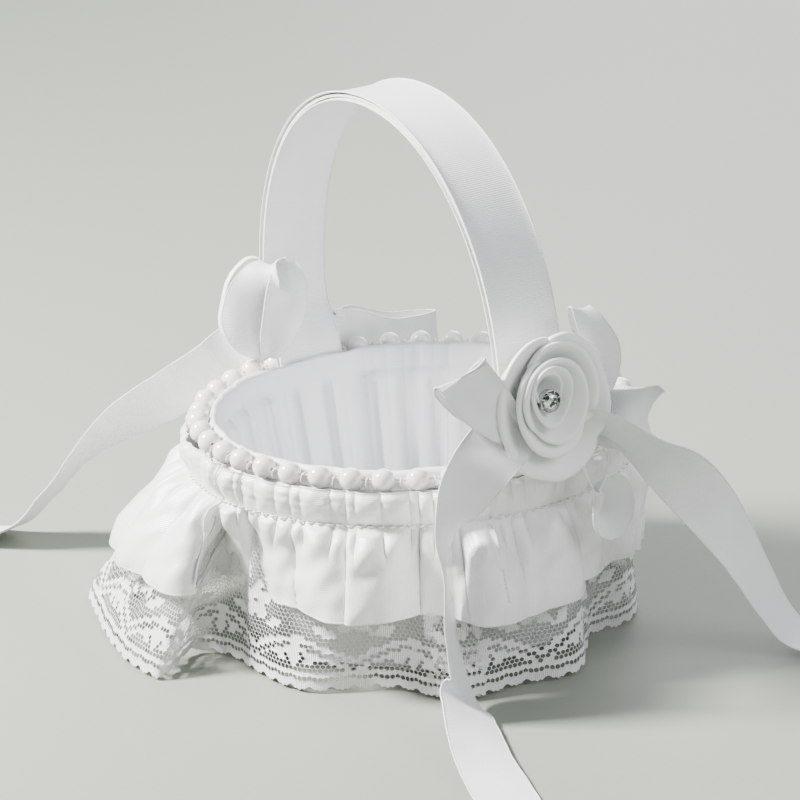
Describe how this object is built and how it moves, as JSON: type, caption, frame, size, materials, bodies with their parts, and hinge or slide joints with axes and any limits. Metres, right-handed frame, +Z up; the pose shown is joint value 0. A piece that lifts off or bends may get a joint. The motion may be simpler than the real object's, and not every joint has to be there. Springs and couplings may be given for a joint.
{
  "type": "flower girl basket",
  "caption": "Small round satin basket with a stiff ribbon arch handle, pearl rim, gathered satin ruffle over lace, and a bow with a ribbon rosette at each foot of the handle.",
  "frame": {"origin": "centre of the base, on the surface the basket stands on", "axes": "+Z up; the handle arches along X, with the near foot at +X and the far foot at -X; Y runs across the handle"},
  "size_m": [0.3751, 0.2417, 0.1871],
  "materials": {
    "satin": "white polyester satin, soft sheen",
    "petal_satin": "white satin ribbon, slightly sheer",
    "lining_satin": "gathered white lining satin, cool in the shade",
    "lace": "white raschel lace, open net ground",
    "thread": "white sewing thread and woven tape",
    "pearl": "ivory imitation pearl, glossy with a soft lustre",
    "board": "stiff pressed card",
    "padding": "satin over soft wadding",
    "strip_plastic": "thin stiff plastic strip",
    "glue": "set hot-melt glue",
    "felt": "white craft felt",
    "claw_metal": "bright plated cup",
    "crystal": "clear faceted glass stone"
  },
  "bodies": {
    "root": {"base_cover": "satin", "bow_far_knot": "satin", "bow_far_left_loop": "satin", "bow_far_right_loop": "satin", "bow_near_knot": "satin", "bow_near_left_loop": "satin", "bow_near_lower_loop": "satin", "bow_near_right_loop": "satin", "bow_near_upper_loop": "satin", "core_base": "board", "core_wall": "board", "floor_pad": "padding", "gathering_thread": "thread", "handle_core": "strip_plastic", "handle_glue_far": "glue", "handle_glue_near": "glue", "handle_inner_ribbon": "satin", "handle_outer_ribbon": "satin", "lace_flounce": "lace", "lace_tape": "thread", "lining_wall": "lining_satin", "outer_cover": "satin", "pearl_strand": "pearl", "rim_binding": "satin", "rosette_far_claw": "claw_metal", "rosette_far_felt": "felt", "rosette_far_inner_petals": "petal_satin", "rosette_far_middle_petals": "petal_satin", "rosette_far_outer_petals": "petal_satin", "rosette_far_stone": "crystal", "rosette_near_claw": "claw_metal", "rosette_near_felt": "felt", "rosette_near_inner_petals": "petal_satin", "rosette_near_middle_petals": "petal_satin", "rosette_near_outer_petals": "petal_satin", "rosette_near_stone": "crystal", "satin_ruffle": "satin", "tail_far_back": "satin", "tail_far_side": "satin", "tail_near_front": "satin", "tail_near_side": "satin"}
  },
  "joints": []
}
